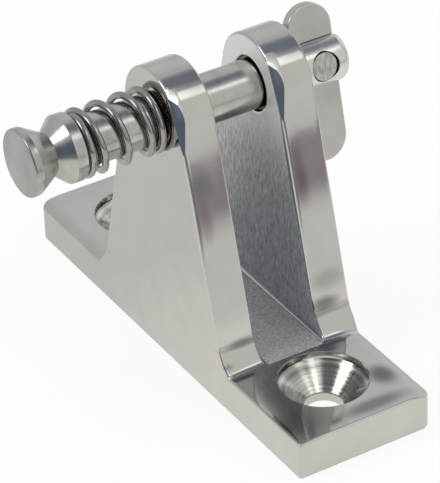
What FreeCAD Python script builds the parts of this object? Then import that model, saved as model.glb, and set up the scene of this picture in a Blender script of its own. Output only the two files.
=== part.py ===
import FreeCAD, Part
import math
import os
import re

import Sketcher

# Quick-release deck hinge: a cast bracket with two ears, a spring-loaded pin through them and a
# toggle that drops across the pin's end. Millimetres. The origin is the centre of the deck face,
# +Z is up from the deck, +X runs along the pin towards the toggle, and Y is the length of the base.

Vector = FreeCAD.Vector

SIZES = [
    # The cast bracket
    ("base_length", 63.5),
    ("base_width", 19.05),
    ("base_thickness", 5.1),
    ("base_corner_radius", 1.6),
    ("base_crisp_corner_radius", 0.4),
    ("ear_gap", 8.8),
    ("ear_foot_length", 31.4),
    ("ear_foot_flare", 1.85),
    ("ear_knee_rise", 1.96),
    ("ear_knee_radius", 5.3),
    ("ear_top_radius", 6.54),
    ("ear_edge_radius", 0.3),
    ("ear_foot_radius", 0.4),
    ("outer_edge_chamfer", 0.2),
    ("pin_height", 34.2),
    ("pin_clearance", 0.4),
    ("bore_chamfer", 0.25),
    ("screw_spacing", 44.5),
    ("screw_hole_diameter", 4.8),
    ("screw_head_diameter", 11.2),
    ("screw_head_lip", 0.7),
    ("screw_head_angle", 90.0),
    # The turned pin
    ("pin_diameter", 6.35),
    ("pin_end_radius", 1.1),
    ("pin_end_length", 3.75),
    ("button_diameter", 8.6),
    ("button_land", 1.0),
    ("button_edge_chamfer", 0.3),
    ("waist_diameter", 5.4),
    ("waist_taper_length", 2.75),
    ("collar_taper_length", 1.8),
    ("collar_diameter", 8.6),
    ("collar_land", 1.45),
    ("collar_edge_chamfer", 0.15),
    # The spring on the pin
    ("spring_length", 11.05),
    ("spring_wire", 0.9),
    ("spring_clearance", 0.28),
    ("spring_seat_gap", 0.05),
    ("spring_open_turns", 2.5),
    ("spring_closed_turns", 1.0),
    ("spring_closed_pitch", 1.0),
    ("spring_start_angle", 90.0),
    # The toggle and the rivet that it turns on
    ("toggle_width", 6.3),
    ("toggle_thickness", 1.5),
    ("toggle_short_reach", 7.7),
    ("toggle_long_reach", 12.9),
    ("toggle_pivot_offset", 0.2),
    ("toggle_edge_chamfer", 0.25),
    ("toggle_ear_gap", 0.6),
    ("toggle_slot_clearance", 0.2),
    ("toggle_nose_clearance", 0.4),
    ("rivet_diameter", 3.6),
    ("rivet_clearance", 0.15),
    ("rivet_length", 5.8),
    ("rivet_edge_chamfer", 0.2),
    ("pin_turn_angle", -13.0),
]

# How far a cutting shape runs past the face that it leaves.
OVERRUN = 1.0

# Two lengths, or two directions, that differ by less than this are taken as the same.
NEAR = 1e-4

# A word of the sheet inside an expression: every alias is made of words joined by underscores.
SHEET_WORD = re.compile(r"[a-z]+(?:_[a-z]+)+")

# Places along the pin's axis, from the middle of the ears.
PIVOT = "(base_width / 2 + toggle_ear_gap + toggle_width / 2 + toggle_pivot_offset)"
PIN_END = f"({PIVOT} + pin_end_length)"
COLLAR_END = "(-base_width / 2 - spring_length)"
COLLAR_START = f"({COLLAR_END} - collar_land)"
WAIST = f"({COLLAR_START} - collar_taper_length)"
BUTTON_BACK = f"({WAIST} - waist_taper_length)"
BUTTON_FACE = f"({BUTTON_BACK} - button_land)"

# The hole for the rivet, in the pin and in the toggle.
RIVET_HOLE_RADIUS = "rivet_diameter / 2 + rivet_clearance"

# Half the length between the knees, where the ears' flanks turn out into their feet.
KNEE_REACH = "(ear_foot_length / 2 - ear_foot_flare)"

# How closely the spring's centre line is set out, and how gently its pitch changes. The wire has
# flats instead of a round section, with the round wire's area.
POINTS_PER_TURN = 16
PITCH_BLEND_TURNS = 0.25
WIRE_FLATS = 8

doc = FreeCAD.newDocument("deck_hinge")


def fill_sheet():
    sheet = doc.addObject("Spreadsheet::Sheet", "Sizes")
    for row, (name, value) in enumerate(SIZES, start=1):
        sheet.set(f"A{row}", name)
        sheet.set(f"B{row}", str(value))
        sheet.setAlias(f"B{row}", name)
    doc.recompute()
    return sheet


sizes = fill_sheet()


def value_of(expression):
    """The number that an expression in the sheet's words stands for."""
    return float(sizes.evalExpression(expression))


def bind(thing, prop, expression):
    """Tie a property to an expression in the sheet's words."""
    thing.setExpression(prop, SHEET_WORD.sub(lambda word: f"Sizes.{word.group()}", expression))


def new_body(label):
    body = doc.addObject("PartDesign::Body", label)
    body.Label = label
    return body


def origin_feature(body, role):
    return [item for item in body.Origin.OriginFeatures if item.Role == role][0]


def new_sketch(body, name, plane):
    sketch = body.newObject("Sketcher::SketchObject", name)
    sketch.AttachmentSupport = [(origin_feature(body, plane), "")]
    sketch.MapMode = "FlatFace"
    return sketch


def add_chain(sketch, points):
    """Straight lines through the points, closed, with joined corners. Returns the lines' numbers."""
    lines = []
    for start, end in zip(points, points[1:] + points[:1]):
        lines.append(sketch.addGeometry(Part.LineSegment(Vector(*start, 0), Vector(*end, 0))))
    for line, following in zip(lines, lines[1:] + lines[:1]):
        sketch.addConstraint(Sketcher.Constraint("Coincident", line, 2, following, 1))
    return lines


def place_point(sketch, geometry, end, name, across, up):
    """Hold a sketch point at distances from the sketch's origin; 0 puts it on that axis."""
    across_axis = ("DistanceX", "across", across, -2)
    up_axis = ("DistanceY", "up", up, -1)
    for kind, letter, expression, axis in (across_axis, up_axis):
        if expression == "0":
            sketch.addConstraint(Sketcher.Constraint("PointOnObject", geometry, end, axis))
            continue
        hold(sketch, f"{name}_{letter}", expression, kind, -1, 1, geometry, end)


def hold(sketch, name, expression, kind, *where):
    """A named dimension in a sketch, tied to the sheet."""
    number = sketch.addConstraint(Sketcher.Constraint(kind, *where, value_of(expression)))
    sketch.renameConstraint(number, name)
    bind(sketch, f"Constraints.{name}", expression)


def add_outline(body, name, plane, corners):
    """A sketch of a closed outline whose corners are pairs of sheet expressions."""
    sketch = new_sketch(body, name, plane)
    points = [(value_of(across), value_of(up)) for across, up in corners]
    lines = add_chain(sketch, points)
    for line, (across, up) in zip(lines, corners):
        place_point(sketch, line, 1, f"corner{line}", across, up)
    return sketch


def add_circle(body, name, plane, across, up, radius):
    sketch = new_sketch(body, name, plane)
    centre = Vector(value_of(across), value_of(up), 0)
    circle = sketch.addGeometry(Part.Circle(centre, Vector(0, 0, 1), value_of(radius)))
    place_point(sketch, circle, 3, "centre", across, up)
    hold(sketch, "radius", radius, "Radius", circle)
    return sketch


def pad(body, name, sketch, length, symmetric=False):
    feature = body.newObject("PartDesign::Pad", name)
    feature.Profile = sketch
    if symmetric:
        feature.SideType = "Symmetric"
    bind(feature, "Length", length)
    doc.recompute()
    return feature


def pocket(body, name, sketch, length):
    """A cut that reaches half its length each way from the sketch's plane."""
    before = body.Shape.Volume
    feature = body.newObject("PartDesign::Pocket", name)
    feature.Profile = sketch
    feature.SideType = "Symmetric"
    bind(feature, "Length", length)
    doc.recompute()
    if body.Shape.Volume > before - NEAR:
        raise RuntimeError(f"{name} cuts nothing")
    return feature


def chosen_edges(feature, wanted):
    """Names of the feature's edges for which wanted(edge) is true."""
    names = []
    for number, edge in enumerate(feature.Shape.Edges, start=1):
        if wanted(edge):
            names.append(f"Edge{number}")
    if not names:
        raise RuntimeError(f"no edge of {feature.Name} matches")
    return names


def round_edges(body, name, base, wanted, radius):
    feature = body.newObject("PartDesign::Fillet", name)
    feature.Base = (base, chosen_edges(base, wanted))
    bind(feature, "Radius", radius)
    doc.recompute()
    return feature


def chamfer_edges(body, name, base, wanted, width):
    feature = body.newObject("PartDesign::Chamfer", name)
    feature.Base = (base, chosen_edges(base, wanted))
    bind(feature, "Size", width)
    doc.recompute()
    return feature


def near(value, target):
    return abs(value - target) < NEAR


def lies_along(edge, direction):
    """True for a straight edge along the direction."""
    if edge.Curve.TypeId != "Part::GeomLine":
        return False
    return near(abs(edge.Curve.Direction.dot(direction)), 1)


def build_base_plate(body):
    half_width = "base_width / 2"
    half_length = "base_length / 2"
    corners = [
        (f"-{half_width}", f"-{half_length}"),
        (half_width, f"-{half_length}"),
        (half_width, half_length),
        (f"-{half_width}", half_length),
    ]
    outline = add_outline(body, "BaseOutline", "XY_Plane", corners)
    plate = pad(body, "BasePlate", outline, "base_thickness")
    up = Vector(0, 0, 1)

    def is_crisp(edge):
        """The upright corner at the front on the button's side, which the polishing left crisp."""
        return lies_along(edge, up) and max(edge.CenterOfMass.x, edge.CenterOfMass.y) < 0

    def is_soft(edge):
        return lies_along(edge, up) and not is_crisp(edge)

    soft = round_edges(body, "BaseCorners", plate, is_soft, "base_corner_radius")
    return round_edges(body, "CrispCorner", soft, is_crisp, "base_crisp_corner_radius")


def flank_meets_top():
    """Where the straight flank from the knee touches the round top: along Y, and above the deck."""
    knee_y = value_of(KNEE_REACH)
    drop = value_of("pin_height - base_thickness - ear_knee_rise")
    reach = math.hypot(knee_y, drop)
    lean = math.atan2(knee_y, drop) - math.asin(value_of("ear_top_radius") / reach)
    touch_y = value_of("ear_top_radius") * math.cos(lean)
    touch_z = value_of("pin_height") + value_of("ear_top_radius") * math.sin(lean)
    return touch_y, touch_z


def draw_ear_profile(body):
    """The A-shaped side view of the ears: foot facet, knee, straight flank and round top."""
    sketch = new_sketch(body, "EarProfile", "YZ_Plane")
    foot_y = value_of("ear_foot_length / 2")
    foot_z = value_of("base_thickness")
    knee_y = value_of(KNEE_REACH)
    knee_z = value_of("base_thickness + ear_knee_rise")
    touch_y, touch_z = flank_meets_top()
    corners = [
        (touch_y, touch_z),
        (knee_y, knee_z),
        (foot_y, foot_z),
        (foot_y, 0),
        (-foot_y, 0),
        (-foot_y, foot_z),
        (-knee_y, knee_z),
        (-touch_y, touch_z),
    ]
    lines = []
    for start, end in zip(corners, corners[1:]):
        lines.append(sketch.addGeometry(Part.LineSegment(Vector(*start, 0), Vector(*end, 0))))
    for line, following in zip(lines, lines[1:]):
        sketch.addConstraint(Sketcher.Constraint("Coincident", line, 2, following, 1))
    centre = Vector(0, value_of("pin_height"), 0)
    start_angle = math.atan2(touch_z - centre.y, touch_y)
    top_circle = Part.Circle(centre, Vector(0, 0, 1), value_of("ear_top_radius"))
    top = sketch.addGeometry(Part.ArcOfCircle(top_circle, start_angle, math.pi - start_angle))
    sketch.addConstraint(Sketcher.Constraint("Tangent", top, 1, lines[0], 1))
    sketch.addConstraint(Sketcher.Constraint("Tangent", top, 2, lines[-1], 2))
    place_point(sketch, top, 3, "top_centre", "0", "pin_height")
    hold(sketch, "top_radius", "ear_top_radius", "Radius", top)
    knee_up = "base_thickness + ear_knee_rise"
    place_point(sketch, lines[1], 1, "knee_rear", KNEE_REACH, knee_up)
    place_point(sketch, lines[2], 1, "foot_rear", "ear_foot_length / 2", "base_thickness")
    place_point(sketch, lines[3], 1, "root_rear", "ear_foot_length / 2", "0")
    place_point(sketch, lines[4], 1, "root_front", "-ear_foot_length / 2", "0")
    place_point(sketch, lines[5], 1, "foot_front", "-ear_foot_length / 2", "base_thickness")
    place_point(sketch, lines[6], 1, "knee_front", f"-{KNEE_REACH}", knee_up)
    return sketch


def build_ears(body):
    """One block with the ears' profile across the whole width, and the slot cut out of it."""
    block = pad(body, "EarBlock", draw_ear_profile(body), "base_width", symmetric=True)
    knee_z = value_of("base_thickness + ear_knee_rise")
    knees = round_edges(
        body,
        "KneeCoves",
        block,
        lambda edge: lies_along(edge, Vector(1, 0, 0)) and near(edge.CenterOfMass.z, knee_z),
        "ear_knee_radius",
    )
    slot_top = f"pin_height + ear_top_radius + {OVERRUN}"
    corners = [
        ("-ear_gap / 2", "base_thickness"),
        ("ear_gap / 2", "base_thickness"),
        ("ear_gap / 2", slot_top),
        ("-ear_gap / 2", slot_top),
    ]
    section = add_outline(body, "SlotSection", "XZ_Plane", corners)
    return pocket(body, "EarSlot", section, "base_length")


def soften_casting(body, casting):
    """Round the ears' inner edges, fill the corners at their feet, then bevel the outside edges."""
    floor_z = value_of("base_thickness")
    half_gap = value_of("ear_gap / 2")
    half_width = value_of("base_width / 2")
    half_foot = value_of("ear_foot_length / 2")
    corner_start = value_of("base_length / 2 - base_corner_radius")

    def all_along(edge, test):
        return all(test(point) for point in edge.discretize(5))

    def on_ear_rim(point):
        return near(abs(point.x), half_gap)

    inner = round_edges(
        body,
        "EarInnerEdges",
        casting,
        lambda edge: all_along(edge, on_ear_rim) and edge.CenterOfMass.z > floor_z + NEAR,
        "ear_edge_radius",
    )

    def on_foot_line(point):
        if not near(point.z, floor_z):
            return False
        return abs(point.y) < half_foot + NEAR and abs(point.x) > half_gap - NEAR

    def is_foot_edge(edge):
        return all_along(edge, on_foot_line)

    feet = round_edges(body, "EarFeet", inner, is_foot_edge, "ear_foot_radius")

    def on_side(point):
        return near(abs(point.x), half_width) and point.z > NEAR

    def on_end(point):
        return near(point.z, floor_z) and abs(point.y) > corner_start - NEAR

    def on_outline(edge):
        if lies_along(edge, Vector(0, 0, 1)):
            return False
        return all_along(edge, on_side) or all_along(edge, on_end)

    return chamfer_edges(body, "OutsideEdges", feet, on_outline, "outer_edge_chamfer")


def build_screw_holes(body):
    """Two countersunk holes, one turned out at the front and one mirrored to the rear."""
    seat = "(screw_head_diameter - screw_hole_diameter) / 2 / tan(screw_head_angle / 2 * 1 deg)"
    cone_foot = f"base_thickness - screw_head_lip - {seat}"
    lip_foot = "base_thickness - screw_head_lip"
    axis = "screw_spacing / 2"
    corners = [
        (axis, f"-{OVERRUN}"),
        (f"{axis} + screw_hole_diameter / 2", f"-{OVERRUN}"),
        (f"{axis} + screw_hole_diameter / 2", cone_foot),
        (f"{axis} + screw_head_diameter / 2", lip_foot),
        (f"{axis} + screw_head_diameter / 2", f"base_thickness + {OVERRUN}"),
        (axis, f"base_thickness + {OVERRUN}"),
    ]
    section = add_outline(body, "ScrewSeatSection", "YZ_Plane", corners)
    spine_foot = Vector(value_of(axis), 0, 0)
    spine = Part.LineSegment(spine_foot, spine_foot + Vector(0, value_of("base_thickness"), 0))
    line = section.addGeometry(spine, True)
    place_point(section, line, 1, "spine_foot", axis, "0")
    place_point(section, line, 2, "spine_top", axis, "base_thickness")
    before = body.Shape.Volume
    seat_cut = body.newObject("PartDesign::Groove", "ScrewSeat")
    seat_cut.Profile = section
    seat_cut.ReferenceAxis = (section, ["Axis0"])
    seat_cut.Angle = 360
    doc.recompute()
    mirrored = body.newObject("PartDesign::Mirrored", "ScrewSeats")
    mirrored.Originals = [seat_cut]
    mirrored.MirrorPlane = (origin_feature(body, "XZ_Plane"), [""])
    body.Tip = mirrored
    doc.recompute()
    two_holes = 2 * value_of("base_thickness") * math.pi * value_of("screw_hole_diameter / 2") ** 2
    if before - body.Shape.Volume < two_holes:
        raise RuntimeError("the screw holes are not cut through")
    return mirrored


def build_bracket():
    body = new_body("bracket")
    build_base_plate(body)
    soften_casting(body, build_ears(body))
    across_all = f"base_width + {2 * OVERRUN}"
    bore_radius = "pin_diameter / 2 + pin_clearance"
    bore = add_circle(body, "BoreCircle", "YZ_Plane", "0", "pin_height", bore_radius)
    pocket(body, "PinBore", bore, across_all)
    holes = build_screw_holes(body)
    mouth_radius = value_of(bore_radius)
    chamfer_edges(
        body,
        "BoreMouths",
        holes,
        lambda edge: edge.Curve.TypeId == "Part::GeomCircle"
        and near(edge.Curve.Radius, mouth_radius)
        and near(edge.Curve.Center.z, value_of("pin_height")),
        "bore_chamfer",
    )
    return body


def place_on_pin_axis(body):
    """Stand a piece on the pin's axis, turned with the pin about that axis."""
    turn = FreeCAD.Rotation(Vector(1, 0, 0), value_of("pin_turn_angle"))
    body.Placement = FreeCAD.Placement(Vector(0, 0, value_of("pin_height")), turn)
    bind(body, "Placement.Base.z", "pin_height")
    bind(body, "Placement.Rotation.Angle", "pin_turn_angle")


def turn_pin(body):
    """The pin as it leaves the lathe: button, waist, collar and shaft, with its edges eased."""
    corners = [
        (BUTTON_FACE, "0"),
        (BUTTON_FACE, "button_diameter / 2"),
        (BUTTON_BACK, "button_diameter / 2"),
        (WAIST, "waist_diameter / 2"),
        (COLLAR_START, "collar_diameter / 2"),
        (COLLAR_END, "collar_diameter / 2"),
        (COLLAR_END, "pin_diameter / 2"),
        (PIN_END, "pin_diameter / 2"),
        (PIN_END, "0"),
    ]
    section = add_outline(body, "PinSection", "XY_Plane", corners)
    turned = body.newObject("PartDesign::Revolution", "TurnedPin")
    turned.Profile = section
    turned.ReferenceAxis = (origin_feature(body, "X_Axis"), [""])
    turned.Angle = 360
    doc.recompute()

    def rim(diameter, *places):
        """A test for the round edges of one diameter at these places along the pin."""
        radius = value_of(f"{diameter} / 2")
        stations = [value_of(place) for place in places]

        def wanted(edge):
            if edge.Curve.TypeId != "Part::GeomCircle" or not near(edge.Curve.Radius, radius):
                return False
            return any(near(edge.Curve.Center.x, station) for station in stations)

        return wanted

    ended = round_edges(body, "PinEndEdge", turned, rim("pin_diameter", PIN_END), "pin_end_radius")
    button_rims = rim("button_diameter", BUTTON_FACE, BUTTON_BACK)
    button = chamfer_edges(body, "ButtonEdges", ended, button_rims, "button_edge_chamfer")
    collar_rims = rim("collar_diameter", COLLAR_START, COLLAR_END)
    chamfer_edges(body, "CollarEdges", button, collar_rims, "collar_edge_chamfer")


def build_pin():
    body = new_body("pin")
    turn_pin(body)
    across_pin = f"pin_diameter + {2 * OVERRUN}"
    slot_half = "(toggle_thickness / 2 + toggle_slot_clearance)"
    slot_start = f"{PIVOT} - toggle_short_reach - toggle_nose_clearance"
    slot_end = f"{PIN_END} + {OVERRUN}"
    corners = [
        (slot_start, f"-{slot_half}"),
        (slot_end, f"-{slot_half}"),
        (slot_end, slot_half),
        (slot_start, slot_half),
    ]
    slot = add_outline(body, "ToggleSlotOutline", "XY_Plane", corners)
    pocket(body, "ToggleSlot", slot, across_pin)
    hole = add_circle(body, "CrossHoleCircle", "XZ_Plane", PIVOT, "0", RIVET_HOLE_RADIUS)
    pocket(body, "CrossHole", hole, across_pin)
    place_on_pin_axis(body)
    return body


def build_cross_pin():
    body = new_body("cross_pin")
    circle = add_circle(body, "RivetCircle", "XZ_Plane", PIVOT, "0", "rivet_diameter / 2")
    shank = pad(body, "RivetShank", circle, "rivet_length", symmetric=True)

    def is_end_rim(edge):
        return edge.Curve.TypeId == "Part::GeomCircle"

    chamfer_edges(body, "RivetEnds", shank, is_end_rim, "rivet_edge_chamfer")
    place_on_pin_axis(body)
    return body


def draw_toggle_outline(body):
    """Two half circles joined by straight sides, the longer reach below the pivot."""
    sketch = new_sketch(body, "ToggleOutline", "XZ_Plane")
    middle = "base_width / 2 + toggle_ear_gap + toggle_width / 2"
    upper_centre = "toggle_short_reach - toggle_width / 2"
    lower_centre = "toggle_width / 2 - toggle_long_reach"
    across = value_of(middle)
    high = value_of(upper_centre)
    low = value_of(lower_centre)
    radius = value_of("toggle_width / 2")
    top_circle = Part.Circle(Vector(across, high, 0), Vector(0, 0, 1), radius)
    bottom_circle = Part.Circle(Vector(across, low, 0), Vector(0, 0, 1), radius)
    inner_line = Part.LineSegment(Vector(across - radius, high, 0), Vector(across - radius, low, 0))
    outer_line = Part.LineSegment(Vector(across + radius, low, 0), Vector(across + radius, high, 0))
    upper = sketch.addGeometry(Part.ArcOfCircle(top_circle, 0, math.pi))
    inner = sketch.addGeometry(inner_line)
    lower = sketch.addGeometry(Part.ArcOfCircle(bottom_circle, math.pi, 2 * math.pi))
    outer = sketch.addGeometry(outer_line)
    for first, second in ((upper, inner), (inner, lower), (lower, outer), (outer, upper)):
        sketch.addConstraint(Sketcher.Constraint("Tangent", first, 2, second, 1))
    place_point(sketch, upper, 3, "upper", middle, upper_centre)
    place_point(sketch, lower, 3, "lower", middle, lower_centre)
    hold(sketch, "end_radius", "toggle_width / 2", "Radius", upper)
    return sketch


def build_toggle():
    """A flat plate with round ends; its hole lies nearer the edge that faces away from the ear."""
    body = new_body("toggle")
    plate = pad(body, "TogglePlate", draw_toggle_outline(body), "toggle_thickness", symmetric=True)
    half_thickness = value_of("toggle_thickness / 2")

    def is_face_rim(edge):
        return near(abs(edge.CenterOfMass.y), half_thickness)

    chamfer_edges(body, "ToggleEdges", plate, is_face_rim, "toggle_edge_chamfer")
    hole = add_circle(body, "PivotHoleCircle", "XZ_Plane", PIVOT, "0", RIVET_HOLE_RADIUS)
    pocket(body, "PivotHole", hole, f"toggle_thickness + {2 * OVERRUN}")
    place_on_pin_axis(body)
    return body


def build_spring():
    """Wire on one helix, wound close for a turn at each end and open between."""
    wire_radius = value_of("spring_wire / 2")
    share_of_circle = WIRE_FLATS * math.sin(2 * math.pi / WIRE_FLATS) / (2 * math.pi)
    corner_radius = wire_radius / math.sqrt(share_of_circle)
    coil_radius = value_of("pin_diameter / 2 + spring_clearance + spring_wire / 2")
    start_x = value_of(f"{COLLAR_END} + spring_seat_gap + spring_wire / 2")
    end_x = value_of("-base_width / 2 - spring_seat_gap - spring_wire / 2")
    closed_turns = value_of("spring_closed_turns")
    open_turns = value_of("spring_open_turns")
    closed_rise = value_of("spring_closed_turns * spring_closed_pitch")
    open_rise = end_x - start_x - 2 * closed_rise
    turns = open_turns + 2 * closed_turns

    def sharp_advance(turn):
        """Distance along the pin from the collar end, with the pitch changing at once."""
        if turn < closed_turns:
            return closed_rise * turn / closed_turns
        if turn < closed_turns + open_turns:
            return closed_rise + open_rise * (turn - closed_turns) / open_turns
        return closed_rise + open_rise + closed_rise * (turn - closed_turns - open_turns) / closed_turns

    def advance(turn):
        """The same with each change of pitch spread over a part of a turn."""
        reach = min(PITCH_BLEND_TURNS / 2, turn, turns - turn)
        return (sharp_advance(turn - reach) + 2 * sharp_advance(turn) + sharp_advance(turn + reach)) / 4

    steps = round(turns * POINTS_PER_TURN)
    points = []
    for step in range(steps + 1):
        turn = turns * step / steps
        angle = math.radians(value_of("spring_start_angle")) + 2 * math.pi * turn
        across = coil_radius * math.cos(angle)
        up = coil_radius * math.sin(angle)
        points.append(Vector(start_x + advance(turn), across, up))
    path = Part.BSplineCurve()
    path.interpolate(points)
    section = Part.Circle(points[0], path.tangent(path.FirstParameter)[0], corner_radius)
    corners = [section.value(2 * math.pi * flat / WIRE_FLATS) for flat in range(WIRE_FLATS)]
    outline = Part.makePolygon(corners + corners[:1])
    spine = Part.Wire(path.toShape())
    spring = doc.addObject("Part::Feature", "spring")
    spring.Label = "spring"
    spring.Shape = spine.makePipeShell([outline], True, True)
    spring.Placement = FreeCAD.Placement(Vector(0, 0, value_of("pin_height")), FreeCAD.Rotation())
    return spring


def check(pieces):
    """Stop before anything is written if a step failed or a piece isn't one sound solid."""
    doc.recompute()
    for item in doc.Objects:
        if "Invalid" in item.State or "Error" in item.State:
            raise RuntimeError(f"{item.Name} failed: {item.State}")
    for piece in pieces:
        shape = piece.Shape
        if shape.isNull() or not shape.isValid() or len(shape.Solids) != 1:
            raise RuntimeError(f"{piece.Label} isn't one valid solid")


def write(pieces):
    os.makedirs("parts", exist_ok=True)
    for piece in pieces:
        piece.Shape.exportStep(f"parts/{piece.Label}.step")
        box = piece.Shape.BoundBox
        print(
            f"{piece.Label}: volume {piece.Shape.Volume:.1f} mm3, "
            f"x {box.XMin:.2f} to {box.XMax:.2f}, y {box.YMin:.2f} to {box.YMax:.2f}, "
            f"z {box.ZMin:.2f} to {box.ZMax:.2f}"
        )


pieces = [build_bracket(), build_pin(), build_cross_pin(), build_toggle(), build_spring()]
check(pieces)
write(pieces)
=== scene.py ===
from math import asin, atan2, cos, hypot, pi, radians, sin, tan

import bmesh
import bpy
from bpy.props import FloatProperty, FloatVectorProperty, IntProperty, PointerProperty
from bpy.types import NodeSocket, Operator, Panel, PropertyGroup, Scene
from mathutils import Matrix, Vector


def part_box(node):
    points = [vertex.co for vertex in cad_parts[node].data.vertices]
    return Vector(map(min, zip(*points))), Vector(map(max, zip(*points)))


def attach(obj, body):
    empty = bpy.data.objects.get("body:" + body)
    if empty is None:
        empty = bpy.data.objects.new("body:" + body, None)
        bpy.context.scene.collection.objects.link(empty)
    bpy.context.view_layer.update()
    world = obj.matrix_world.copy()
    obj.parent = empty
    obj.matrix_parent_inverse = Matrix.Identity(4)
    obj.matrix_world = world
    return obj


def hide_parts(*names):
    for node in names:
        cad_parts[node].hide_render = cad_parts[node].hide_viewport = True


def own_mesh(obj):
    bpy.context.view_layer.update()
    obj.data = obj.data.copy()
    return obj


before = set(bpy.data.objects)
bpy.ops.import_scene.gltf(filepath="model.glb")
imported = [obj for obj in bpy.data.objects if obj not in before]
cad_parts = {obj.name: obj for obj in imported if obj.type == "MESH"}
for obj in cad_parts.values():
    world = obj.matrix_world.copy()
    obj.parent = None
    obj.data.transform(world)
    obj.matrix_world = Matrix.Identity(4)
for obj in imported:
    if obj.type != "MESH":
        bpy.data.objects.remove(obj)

bl_info = {
    "name": "Deck Hinge",
    "version": (1, 0, 0),
    "blender": (4, 5, 0),
    "location": "View3D > Sidebar > Deck Hinge",
    "description": "Models a quick-release deck hinge with its sprung pin and drop-nose toggle",
    "category": "Add Mesh",
}

MM = 0.001

# Places closer than this are the same place.
NEAR = 0.00001

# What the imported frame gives: +X runs along the pin, +Y along the base, +Z up from the deck.
BRACKET_LOW, BRACKET_HIGH = (Vector(corner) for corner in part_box("bracket"))
PIN_LOW, PIN_HIGH = (Vector(corner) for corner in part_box("pin"))
RIVET_LOW, RIVET_HIGH = (Vector(corner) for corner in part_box("cross_pin"))
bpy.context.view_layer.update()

HALF_WIDTH = (BRACKET_HIGH.x - BRACKET_LOW.x) / 2
HALF_LENGTH = (BRACKET_HIGH.y - BRACKET_LOW.y) / 2
PIN_HEIGHT = (PIN_LOW.z + PIN_HIGH.z) / 2
TOP_RADIUS = BRACKET_HIGH.z - PIN_HEIGHT
BUTTON_RADIUS = (PIN_HIGH.z - PIN_LOW.z) / 2
PIVOT_X = (RIVET_LOW.x + RIVET_HIGH.x) / 2
RIVET_RADIUS = (RIVET_HIGH.x - RIVET_LOW.x) / 2

ALONG_PIN = Vector((1, 0, 0))
ACROSS_PIN = Vector((0, 1, 0))
UP = Vector((0, 0, 1))
PIN_MIDDLE = Vector((0, 0, PIN_HEIGHT))
PIVOT = Vector((PIVOT_X, 0, PIN_HEIGHT))


def number(name, value, description, **settings):
    """A property for a plain number."""
    return FloatProperty(name=name, description=description, default=value, **settings)


def length(name, millimetres, description):
    """A property for a size of the object."""
    return number(name, millimetres * MM, description, min=0, unit="LENGTH", precision=5)


def triple(name, value, description, **settings):
    """A property for three numbers that belong together."""
    return FloatVectorProperty(name=name, description=description, default=value, **settings)


def colour(name, value, description):
    """A property for a metal's colour."""
    return triple(name, value, description, min=0, max=1, subtype="COLOR")


class DeckHingeBracket(PropertyGroup):
    base_thickness: length("Base thickness", 5.1, "Height of the flat base")
    corner_radius: length("Corner radius", 1.6, "Radius of the base's upright corners")
    crisp_radius: length("Crisp radius", 0.4, "Radius of the one crisp corner")
    ear_gap: length("Ear gap", 8.8, "Width of the slot between the ears")
    foot_length: length("Foot length", 31.4, "Length of an ear at the base")
    foot_flare: length("Foot flare", 1.85, "How far each foot runs out past its knee")
    knee_rise: length("Knee rise", 1.96, "Height of the knee above the base")
    knee_radius: length("Knee radius", 5.3, "Radius of the cove at the knee")
    inner_edge: length("Inner edge", 0.3, "Rounding of the ears' edges along the slot")
    worn_edge: length("Worn edge", 0.7, "Rounding of the worn front edges")
    facet_width: length("Facet width", 0.95, "Width of the facets ground beside the bores")
    facet_foot: length("Facet foot", 31.2, "Height of the facets' lower tips")
    crown_facet: length("Crown facet", 1.1, "Width of the small facets above them")
    rolled_edge: length("Rolled edge", 0.7, "How far the base's right edge is rolled over")
    rolled_width: length("Rolled width", 3.5, "How far in the rolling starts")
    foot_fillet: length("Foot fillet", 0.45, "Fillet at the ears' feet")
    outer_edge: length("Outer edge", 0.28, "Rounding of the outside edges")
    bore_clearance: length("Bore clearance", 0.4, "Gap between the pin and the bore")
    bore_edge: length("Bore edge", 0.25, "Chamfer at the bore's mouths")
    screw_spacing: length("Screw spacing", 44.5, "Distance between the two screw holes")
    screw_hole: length("Screw hole", 4.8, "Diameter of the screw holes")
    screw_head: length("Screw head", 11.2, "Diameter of the countersinks")
    screw_lip: length("Screw lip", 0.95, "Depth of the straight lip above the cone")
    screw_seat: length("Screw seat", 2.95, "Depth of the cone for the screw's head")
    screw_edge: length("Screw edge", 0.15, "Rounding of the countersinks' edges")


class DeckHingePin(PropertyGroup):
    diameter: length("Pin diameter", 6.35, "Diameter of the shaft")
    end_radius: length("End radius", 1.1, "Rounding of the slotted end")
    button_land: length("Button land", 1.0, "Length of the button's straight rim")
    button_edge: length("Button edge", 0.3, "Rounding of the button's rims")
    waist_diameter: length("Waist diameter", 5.4, "Diameter at the narrowest place")
    waist_taper: length("Waist taper", 2.75, "Length of the button's taper")
    collar_taper: length("Collar taper", 1.8, "Length of the collar's taper")
    collar_land: length("Collar land", 1.45, "Length of the collar's straight rim")
    collar_edge: length("Collar edge", 0.15, "Rounding of the collar's rims")
    slot_clearance: length("Slot clearance", 0.2, "Gap on each side of the toggle")
    nose_clearance: length("Nose clearance", 0.4, "Gap behind the toggle when it lies in line")
    rivet_clearance: length("Rivet clearance", 0.15, "Gap around the rivet")
    turn: number("Turn", radians(-13), "How far it is turned from upright", subtype="ANGLE")


class DeckHingeSpring(PropertyGroup):
    room: length("Room", 11.05, "Distance between the collar and the ear")
    wire: length("Wire", 0.9, "Diameter of the wire")
    clearance: length("Clearance", 0.28, "Gap between the pin and the coil")
    seat_gap: length("Seat gap", 0.05, "Gap at each end of the coil")
    closed_pitch: length("Closed pitch", 1.0, "Advance of the close end turns")
    closed_turns: number("Closed turns", 1.0, "Close turns at each end")
    open_turns: number("Open turns", 2.5, "Open turns between them")
    stroke: length("Stroke", 6.0, "How far the pin pushes in")


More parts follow.
